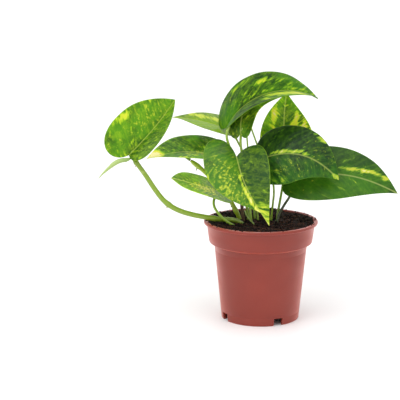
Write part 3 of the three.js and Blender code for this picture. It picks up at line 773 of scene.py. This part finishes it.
def grow_blade(name, leaf, patches, flecks, painted_light_and_shade):
    """A blade from a flat grid: one half on each side of the middle column, the rows fanned from
    the notch, pressed into shape, veined, and thickened."""
    bpy.ops.object.select_all(action="DESELECT")
    bpy.ops.mesh.primitive_grid_add(
        x_subdivisions=BLADE_COLUMNS, y_subdivisions=BLADE_ROWS, size=2, location=(0, 0, 0))
    blade = bpy.context.object
    blade.name = name
    mesh = blade.data
    flat = np.empty(3 * len(mesh.vertices))
    mesh.vertices.foreach_get("co", flat)
    flat = flat.reshape(-1, 3)
    t = (flat[:, 1] + 1) / 2
    s = np.abs(flat[:, 0])
    s = np.where(s < 1e-6, 0, s)
    side = np.where(flat[:, 0] > 0, -1.0, 1.0)
    point, normal, along, out, across = blade_surface(leaf, t, s, side)
    signed = side * out
    vein = along - 0.34 * out * np.clip((along + 0.3) / 0.7, 0, 1)
    rib_fade = np.clip(1.06 - along, 0, 1)
    ridge = np.cos(2 * np.pi * SIDE_VEINS * vein) * np.clip(out / 0.2, 0, 1) * np.clip((1 - s) / 0.2, 0, 1)
    relief = 0.09 * ridge - 0.55 * rib_fade * np.exp(-(across / (0.5 + 0.9 * rib_fade)) ** 2)
    uneven = np.array([noise.noise(Vector(p) * 0.045) for p in point])
    relief = relief + 0.7 * uneven * np.clip(out / 0.4, 0, 1)
    point = (point + normal * relief[:, None]) * MM + np.array(HEART)
    mesh.vertices.foreach_set("co", point.ravel())
    for key, value in (
            ("out", signed), ("rib", across), ("edge", s),
            ("patch", np.clip(patch_share(patches, signed, along), 0, 1.4)),
            ("fleck", np.clip(patch_share(flecks, signed, along), 0, 1.4)),
            ("shade", np.clip(patch_share(painted_light_and_shade, signed, along), DEEPEST_SHADE, 1))):
        mesh.attributes.new(key, "FLOAT", "POINT").data.foreach_set("value", value)
    layer = mesh.uv_layers.active
    for loop in mesh.loops:
        layer.data[loop.index].uv = (signed[loop.vertex_index], vein[loop.vertex_index])
    mesh.update()
    facing = sum(mesh.vertices[i].normal.dot(Vector(normal[i])) for i in range(0, len(mesh.vertices), 97))
    only(blade)
    bpy.ops.object.mode_set(mode="EDIT")
    bpy.ops.mesh.select_all(action="SELECT")
    if facing < 0:
        bpy.ops.mesh.flip_normals()
    bpy.ops.mesh.remove_doubles(threshold=0.00002)
    bpy.ops.object.mode_set(mode="OBJECT")
    sheet_points = len(mesh.vertices)
    apply_modifier(blade, "SOLIDIFY", thickness=BLADE_THICKNESS, offset=0.0, use_even_offset=False)
    under = blade.data.attributes.new("under", "FLOAT", "POINT")
    under.data.foreach_set("value", [float(i >= sheet_points) for i in range(len(blade.data.vertices))])
    blade.data.polygons.foreach_set("use_smooth", [True] * len(blade.data.polygons))
    return blade


pattern = bpy.data.node_groups.new("variegated_leaf", "ShaderNodeTree")
for socket in ("Deep", "Green", "Lime", "Yellow", "Cream"):
    pattern.interface.new_socket(socket, in_out="INPUT", socket_type="NodeSocketColor")
for socket in ("Streaks", "Flecks", "Seed"):
    pattern.interface.new_socket(socket, in_out="INPUT", socket_type="NodeSocketFloat")
pattern.interface.new_socket("Colour", in_out="OUTPUT", socket_type="NodeSocketColor")
pattern.interface.new_socket("Roughness", in_out="OUTPUT", socket_type="NodeSocketFloat")
pattern.interface.new_socket("Height", in_out="OUTPUT", socket_type="NodeSocketFloat")
given = pattern.nodes.new("NodeGroupInput").outputs
veins = add(pattern, "ShaderNodeTexCoord").outputs["UV"]
where = add(pattern, "ShaderNodeTexCoord").outputs["Object"]


def reads(name):
    return add(pattern, "ShaderNodeAttribute", attribute_name=name).outputs["Fac"]


def along_veins(out_scale, vein_scale, detail):
    """Noise stretched along the side veins."""
    shift = add(pattern, "ShaderNodeCombineXYZ", inputs={axis: given["Seed"] for axis in "XYZ"})
    moved = add(pattern, "ShaderNodeVectorMath", operation="MULTIPLY_ADD", inputs={
        0: veins, 1: (out_scale, vein_scale, 1), 2: shift.outputs[0]})
    return grain(pattern, moved.outputs[0], 1.0, detail, 0.62, 0.35)


def weighed(first, first_weight, second, second_weight):
    """The sum of two fields of the leaf pattern, each times its weight."""
    return math_node(
        pattern, "ADD", math_node(pattern, "MULTIPLY", first, first_weight),
        math_node(pattern, "MULTIPLY", second, second_weight))


broad = along_veins(2.2, 9, 3)
narrow = along_veins(4.5, 24, 3)
dots = grain(pattern, where, 300, 4, 0.6, 0.5)
mottle = grain(pattern, where, 55, 3)
marble = weighed(grain(pattern, where, 170, 4, 0.65, 0.8), 0.6, narrow, 0.4)
# Painted light and shade: the shade attribute lightens the blade towards green or darkens it towards deep
# green.
lit = math_node(pattern, "ADD", mottle, math_node(pattern, "MULTIPLY", reads("shade"), 0.5))
colour = blend_colours(pattern, ease(pattern, lit, 0.3, 0.7), given["Deep"], given["Green"])
# Painted shadow: a deep painted shade turns towards the darkest green.
painted_shadow_share = ease(pattern, reads("shade"), -0.7, DEEPEST_SHADE, 0.0, 0.8)
colour = blend_colours(pattern, painted_shadow_share, colour, paint("#16300a"))
streak = math_node(pattern, "MULTIPLY", ease(pattern, marble, 0.42, 0.66), given["Streaks"])
colour = blend_colours(pattern, streak, colour, given["Lime"])
wave = add(pattern, "ShaderNodeSeparateXYZ", inputs={0: veins}).outputs["Y"]
wave = math_node(pattern, "COSINE", math_node(pattern, "MULTIPLY", wave, 2 * math.pi * SIDE_VEINS))
line_share = math_node(pattern, "MULTIPLY", ease(pattern, wave, -0.6, -1.0), 0.1)
colour = blend_colours(pattern, line_share, colour, given["Lime"])
flecked_here = math_node(pattern, "ADD", reads("fleck"), given["Flecks"])
fleck_field = math_node(
    pattern, "ADD", weighed(narrow, 0.45, dots, 0.55), math_node(pattern, "MULTIPLY", flecked_here, 0.16))
fleck_share = ease(pattern, fleck_field, 0.57, 0.72)
colour = blend_colours(pattern, math_node(pattern, "MULTIPLY", fleck_share, 0.85), colour, given["Yellow"])
patch = reads("patch")
ragged = math_node(pattern, "SUBTRACT", weighed(broad, 0.7, narrow, 0.5), 0.6)
ragged = math_node(pattern, "MULTIPLY", ragged, 2.4)
patch_field = math_node(pattern, "ADD", patch, ragged)
colour = blend_colours(pattern, ease(pattern, patch_field, 0.28, 0.48), colour, given["Lime"])
colour = blend_colours(pattern, ease(pattern, patch_field, 0.45, 0.66), colour, given["Yellow"])
colour = blend_colours(pattern, ease(pattern, patch_field, 0.8, 1.0), colour, given["Cream"])
rib = reads("rib")
rib_line = math_node(pattern, "MULTIPLY", ease(pattern, rib, 1.2, 0.3), 0.5)
pale_rib = blend_colours(pattern, 0.45, given["Lime"], given["Cream"])
colour = blend_colours(pattern, rib_line, colour, pale_rib)
colour = blend_colours(pattern, ease(pattern, reads("edge"), 0.97, 1.0, 0.0, 0.6), colour, given["Lime"])
under = reads("under")
backs = blend_colours(pattern, 0.25, colour, paint("#86ab52"))
colour = blend_colours(pattern, under, colour, backs)
handed = pattern.nodes.new("NodeGroupOutput").inputs
pattern.links.new(colour, handed["Colour"])
duller_under = math_node(pattern, "MULTIPLY", under, 0.2)
roughness = math_node(pattern, "ADD", ease(pattern, mottle, 0.3, 0.7, 0.38, 0.5), duller_under)
pattern.links.new(roughness, handed["Roughness"])
quilt = weighed(wave, 0.5, grain(pattern, where, 650, 2), 0.7)
quilt = math_node(pattern, "ADD", quilt, math_node(pattern, "MULTIPLY", narrow, 0.8))
pattern.links.new(quilt, handed["Height"])


def leaf_finish(name, colours, streaks, flecks, seed, gloss):
    """Waxy leaf skin. colours are deep green, green, lime, yellow and cream; gloss is the wax's
    specular level."""
    material, tree, shader = new_finish(name)
    group = add(tree, "ShaderNodeGroup", node_tree=pattern)
    for socket, code in zip(("Deep", "Green", "Lime", "Yellow", "Cream"), colours):
        group.inputs[socket].default_value = paint(code)
    group.inputs["Streaks"].default_value = streaks
    group.inputs["Flecks"].default_value = flecks
    group.inputs["Seed"].default_value = seed
    tree.links.new(group.outputs["Colour"], shader.inputs["Base Color"])
    tree.links.new(group.outputs["Roughness"], shader.inputs["Roughness"])
    shader.inputs["Specular IOR Level"].default_value = gloss
    bump = add(tree, "ShaderNodeBump", inputs={
        "Strength": 0.2, "Distance": 0.0004, "Height": group.outputs["Height"]})
    tree.links.new(bump.outputs[0], shader.inputs["Normal"])
    return material


# Per leaf: deep green, green, lime, yellow and cream; streaks, flecks and seed; then patches,
# flecked areas and areas of painted light (or, below 0, painted shade), each (out, along, length,
# width, turn, strength), where out is 1 at the left margin and -1 at the right one. Strengths that
# overlap add up, and a painted shade below -0.7 turns towards the darkest green.
BLADE_LOOKS = {
    "far_left": (
        ("#2f5a03", "#518d06", "#8fb913", "#cad632", "#e5e37b"), 0.55, 0.1, 3.1,
        [(0.86, 0.3, 0.14, 0.16, 0, 0.8), (0.62, 0.85, 0.1, 0.14, 40, 0.55), (-0.95, 0.9, 0.2, 0.12, 0, 0.5),
         (0.5, 0.3, 0.1, 0.07, 40, 0.45), (0.2, 0.12, 0.12, 0.05, 30, 0.5)],
        [(0.4, 0.55, 0.3, 0.4, 0, 0.35)],
        [(-0.5, 0.2, 0.3, 0.5, 0, -0.7), (0.5, 0.2, 0.3, 0.5, 0, 0.3)]),
    "upper_left": (
        ("#4d6f0b", "#709812", "#9ab527", "#c1cc3e", "#dde084"), 0.5, 0.0, 9.4,
        [(-0.4, 0.5, 0.35, 0.2, 0, 0.6), (-0.3, 0.15, 0.2, 0.15, 0, 0.4)],
        [], [(0.5, 0.4, 0.4, 0.5, 0, 0.4)]),
    "top": (
        ("#183d02", "#376e03", "#6a990a", "#b1c324", "#d9d968"), 0.6, 0.0, 5.7,
        [(0.5, 0.5, 0.13, 0.12, 20, 0.62), (0.85, 0.25, 0.14, 0.14, 0, 0.62), (0.92, 0.68, 0.1, 0.1, 0, 0.55),
         (-0.5, 0.66, 0.2, 0.4, 0, 0.8), (0.12, 0.45, 0.3, 0.06, 0, 0.5), (0.35, 0.28, 0.1, 0.1, 30, 0.45),
         (0.1, 0.85, 0.2, 0.3, 0, 0.35)],
        [], [(0.7, 0.5, 0.2, 0.3, 0, -0.5), (0.2, 0.15, 0.2, 0.4, 0, 0.4), (0.3, 0.9, 0.2, 0.5, 0, 0.5),
         (-0.6, 0.3, 0.1, 0.7, 0, -2.6)]),
    "centre": (
        ("#315a11", "#65a61d", "#b7db2b", "#e9e640", "#fcf2a2"), 0.35, 0.0, 2.2,
        [(-0.97, 0.45, 0.5, 0.07, 0, 0.55), (-0.4, 0.92, 0.07, 0.2, 0, 0.9)],
        [], [(0.5, 0.4, 0.4, 0.5, 0, -1.3), (-0.5, 0.3, 0.4, 0.4, 0, -0.2)]),
    "upper_right": (
        ("#3e7209", "#77bf0f", "#ccf120", "#f2f23b", "#fcf395"), 0.45, 0.0, 7.3,
        [(0.42, 0.62, 0.24, 0.15, 0, 0.85), (0.85, 0.8, 0.2, 0.14, 0, 0.5), (0.95, 0.3, 0.16, 0.1, 0, 0.6),
         (-0.42, 0.62, 0.26, 0.09, 0, 0.72), (-0.7, 0.5, 0.2, 0.1, 0, 0.7), (-0.3, 0.42, 0.12, 0.08, 40, 0.65),
         (-0.6, 0.36, 0.12, 0.14, 0, 0.9), (-0.96, 0.4, 0.1, 0.08, 0, 0.7)],
        [(-0.8, 0.45, 0.3, 0.2, 0, 0.3)],
        [(-0.05, 0.6, 0.5, 0.15, 0, -0.3), (-0.9, 0.3, 0.3, 0.2, 0, -0.7)]),
    "right": (
        ("#0d3006", "#215708", "#5c8d14", "#a9be2a", "#dcd97c"), 0.35, -0.15, 4.6,
        [(0.08, 0.22, 0.2, 0.07, 0, 0.85), (0.1, 0.5, 0.12, 0.09, 20, 0.6), (0.72, 0.62, 0.1, 0.12, 60, 0.7),
         (0.0, 0.95, 0.08, 0.1, 0, 0.5), (-0.85, 0.25, 0.16, 0.14, 0, 0.5)],
        [(-0.6, 0.35, 0.35, 0.45, 0, 0.55), (0.2, 0.7, 0.3, 0.3, 0, 0.4)],
        [(0.6, 0.3, 0.4, 0.5, 0, -0.8)]),
    "front": (
        ("#1e460d", "#3f7511", "#85ab20", "#c8d33a", "#e7e482"), 0.4, -0.3, 1.3,
        [(-0.08, 0.62, 0.4, 0.06, 0, 0.75), (-0.96, 0.55, 0.4, 0.07, 0, 0.8), (0.0, 0.95, 0.16, 0.5, 0, 0.6),
         (0.95, 0.85, 0.2, 0.1, 0, 0.4)],
        [(-0.5, 0.4, 0.5, 0.55, 0, 1.0), (0.5, 0.85, 0.2, 0.4, 0, 0.5)],
        [(0.5, 0.35, 0.4, 0.5, 0, -1.0), (-0.5, 0.5, 0.5, 0.5, 0, 0.6)]),
    "small_left": (
        ("#4d7d23", "#85c12c", "#d4f143", "#fbf553", "#fdf6a1"), 0.3, -0.1, 8.8,
        [(0.95, 0.35, 0.25, 0.1, 0, 0.5)],
        [(0.2, 0.35, 0.35, 0.6, 0, 1.1)], [(0, 0.85, 0.25, 0.8, 0, -0.4)]),
    "left": (
        ("#2f5911", "#589b1a", "#a5d328", "#e7e540", "#fef2ac"), 0.35, 0.0, 6.5,
        [(0.15, 0.22, 0.12, 0.07, 30, 0.85), (0.05, 0.88, 0.15, 0.34, 0, 1.3), (0.9, 0.6, 0.3, 0.16, 0, 0.8),
         (-0.2, 0.06, 0.1, 0.2, 0, 0.5)],
        [(0.5, 0.2, 0.25, 0.4, 0, 0.6)], [(0, 0.97, 0.16, 0.6, 0, 0.7), (-0.4, 0.5, 0.4, 0.4, 0, -0.4)]),
    "far_right": (
        ("#1e440a", "#35690c", "#65911b", "#b8c036", "#e3dd94"), 0.3, -0.2, 0.4,
        [(0.3, 0.74, 0.22, 0.09, 8, 0.8), (0.22, 0.5, 0.14, 0.08, 10, 0.4), (-0.98, 0.02, 0.12, 0.12, 0, 0.6)],
        [], [(0.6, 0.5, 0.5, 0.5, 0, -0.3), (-0.4, 0.3, 0.4, 0.4, 0, 0.5)]),
}
GLOSS = 0.22
# The top leaf arches away from the front, and a glossier wax would turn its slopes grey.
ARCHED_GLOSS = 0.08
for name, (colours, streaks, flecks, seed, patches, flecked, painted_light_and_shade) in BLADE_LOOKS.items():
    gloss = ARCHED_GLOSS if name == "top" else GLOSS
    blade = grow_blade(f"blade_{name}", LEAVES[name], patches, flecked, painted_light_and_shade)
    blade.data.materials.clear()
    blade.data.materials.append(leaf_finish(f"leaf_skin_{name}", colours, streaks, flecks, seed, gloss))
    belongs(blade, f"leaf_{name}", f"leaf_{name}")

# ---- Young leaf ----
# The newest leaf, still rolled up tight: a pale, pointed spindle with the free edge wound round it.
# It grows from the end of the long vine and bends down under its own weight.
YOUNG_LEAF = [
    (-136.5, -12, 71), (-140, -13, 70), (-149, -15, 68), (-157, -17, 63), (-164, -20, 57), (-169, -23, 52),
]
ROLL_TURNS = 1.3


def spindle_width(share):
    return 2.4 * (0.1 + 0.9 * math.sin(math.pi * min(1, share + 0.02) ** 0.6))


young_leaf = grow_stem("young_leaf_spindle", YOUNG_LEAF, spindle_width, roll_up=ROLL_TURNS)
young_leaf.data.materials.append(stem_finish("young_leaf_skin", "#8fae5a", "#a9c070", 0.3, 0.45, 0.1))
belongs(young_leaf, "young_leaf", "young_leaf")

# ---- Studio ----
# A wide flat white floor in an even white room, with one broad soft light from overhead and three
# faint ones: from the upper left, from the right and from behind.
ROOM_STRENGTH = 0.92
OVERHEAD_TILT = (22, -12)
OVERHEAD_SPREAD = 70
OVERHEAD_STRENGTH = 0.95
LIT_HEIGHT = 0.12
CAMERA_OFFSET = (-0.0641, -1.5)
CAMERA_HEIGHT = 0.4452
CAMERA_TILT = 78
CAMERA_LENS = 131.3
bpy.ops.object.select_all(action="DESELECT")
bpy.ops.mesh.primitive_plane_add(size=24, location=(0, 0, 0))
floor = bpy.context.object
floor.name = "studio_floor"
paper, tree, shader = new_finish("studio_paper")
shader.inputs["Base Color"].default_value = paint("#fbfbfb")
shader.inputs["Roughness"].default_value = 0.6
floor.data.materials.append(paper)

room = bpy.data.worlds.new("studio_room")
room.use_nodes = True
room.node_tree.nodes["Background"].inputs["Color"].default_value = (1.0, 1.0, 1.0, 1.0)
room.node_tree.nodes["Background"].inputs["Strength"].default_value = ROOM_STRENGTH
bpy.context.scene.world = room
bpy.context.scene.view_settings.view_transform = "Standard"


def soft_light(name, at, size, power):
    """A square area light that faces the plant's middle."""
    bpy.ops.object.light_add(type="AREA", location=at)
    lamp = bpy.context.object
    lamp.name = name
    lamp.rotation_euler = (Vector((0, 0, LIT_HEIGHT)) - Vector(at)).to_track_quat("-Z", "Y").to_euler()
    lamp.data.size = size
    lamp.data.energy = power


soft_light("key_light", (-0.9, -0.9, 1.5), 1.0, 4)
soft_light("fill_light", (1.3, -0.8, 0.9), 1.0, 1.5)
soft_light("back_light", (0.3, 1.4, 1.3), 1.2, 3)
bpy.ops.object.light_add(type="SUN", rotation=(*map(math.radians, OVERHEAD_TILT), 0))
overhead = bpy.context.object
overhead.name = "overhead_light"
overhead.data.angle = math.radians(OVERHEAD_SPREAD)
overhead.data.energy = OVERHEAD_STRENGTH

bpy.ops.object.camera_add(
    location=(POT_X + CAMERA_OFFSET[0], POT_Y + CAMERA_OFFSET[1], CAMERA_HEIGHT),
    rotation=(math.radians(CAMERA_TILT), 0, 0))
camera = bpy.context.object
camera.data.lens = CAMERA_LENS
camera.data.sensor_width = 36
camera.data.clip_start = 0.01
bpy.context.scene.camera = camera
